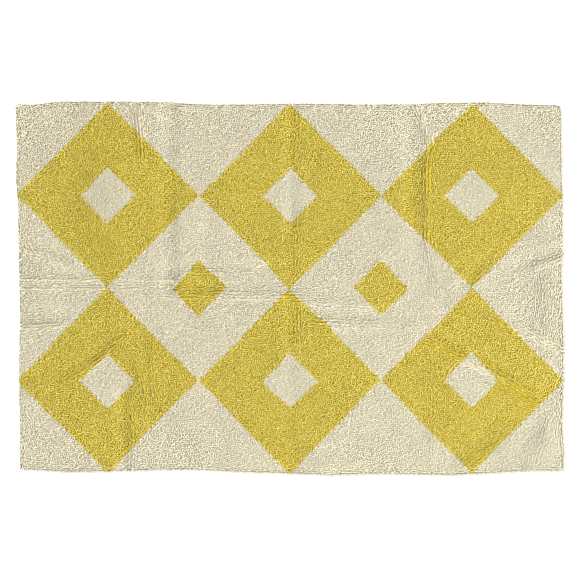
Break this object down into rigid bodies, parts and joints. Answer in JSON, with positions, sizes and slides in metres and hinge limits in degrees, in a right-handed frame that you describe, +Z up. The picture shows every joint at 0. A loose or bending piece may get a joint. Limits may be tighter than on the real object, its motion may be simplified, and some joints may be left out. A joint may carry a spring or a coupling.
{
  "type": "cotton rug",
  "caption": "Rectangular hand-tufted cotton rug with short pile in two yarn colours and soft storage folds, lying flat.",
  "frame": {"origin": "under the middle of the rug, on the floor", "axes": "+X along the long side, +Y along the short side, +Z up out of the pile"},
  "size_m": [1.806, 1.232, 0.0182],
  "materials": {
    "pile_cream": "matt short cotton pile, cream",
    "pile_mustard": "matt short cotton pile, mustard yellow",
    "canvas": "unbleached plain-weave cotton canvas"
  },
  "bodies": {
    "root": {"rug": "pile_cream"}
  },
  "joints": []
}
